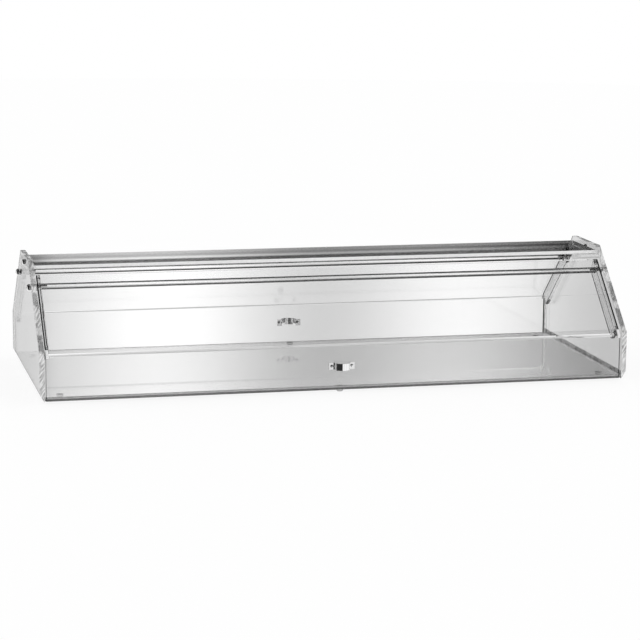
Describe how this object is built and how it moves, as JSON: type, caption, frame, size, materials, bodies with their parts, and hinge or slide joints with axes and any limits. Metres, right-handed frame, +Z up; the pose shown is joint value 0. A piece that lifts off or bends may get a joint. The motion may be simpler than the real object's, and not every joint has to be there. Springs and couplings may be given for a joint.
{
  "type": "pastry display case",
  "caption": "Long clear counter case for pastries: base plate, sloped side panels, flat top panel and a bent lift-up flap with a chrome handle on each long side.",
  "frame": {"origin": "under the middle of the case, on the surface that its feet stand on", "axes": "+X along the case's length to the right as seen from the front, +Y from the front flap to the rear flap, +Z up"},
  "size_m": [1.214, 0.512, 0.256],
  "materials": {
    "clear_sheet": "polished clear acrylic sheet",
    "flap_sheet": "polished clear acrylic sheet, line bent",
    "clear_fittings": "polished clear acrylic",
    "washer_plastic": "natural nylon",
    "chrome": "polished chrome plate",
    "foot_rubber": "soft translucent stud"
  },
  "bodies": {
    "case": {"base_plate": "clear_sheet", "left_side_panel": "clear_sheet", "right_side_panel": "clear_sheet", "top_panel": "clear_sheet", "top_panel_screws": "chrome", "front_left_foot": "foot_rubber", "front_middle_foot": "foot_rubber", "front_right_foot": "foot_rubber", "rear_left_foot": "foot_rubber", "rear_middle_foot": "foot_rubber", "rear_right_foot": "foot_rubber"},
    "front_flap_unit": {"front_flap": "flap_sheet", "front_left_arm": "clear_fittings", "front_right_arm": "clear_fittings", "front_hinge_rod": "clear_fittings", "front_pivot_screws": "chrome", "front_spacer_washers": "washer_plastic", "front_handle": "chrome", "front_handle_screws": "chrome", "front_handle_nuts": "chrome"},
    "rear_flap_unit": {"rear_flap": "flap_sheet", "rear_left_arm": "clear_fittings", "rear_right_arm": "clear_fittings", "rear_hinge_rod": "clear_fittings", "rear_pivot_screws": "chrome", "rear_spacer_washers": "washer_plastic", "rear_handle": "chrome", "rear_handle_screws": "chrome", "rear_handle_nuts": "chrome"}
  },
  "joints": [
    {"name": "front_flap_hinge", "type": "hinge", "parent": "case", "child": "front_flap_unit", "pos_m": [0, -0.09762, 0.20623], "axis": [-1, 0, 0], "range_deg": [0, 150]},
    {"name": "rear_flap_hinge", "type": "hinge", "parent": "case", "child": "rear_flap_unit", "pos_m": [0, 0.09762, 0.20623], "axis": [1, 0, 0], "range_deg": [0, 150]}
  ]
}
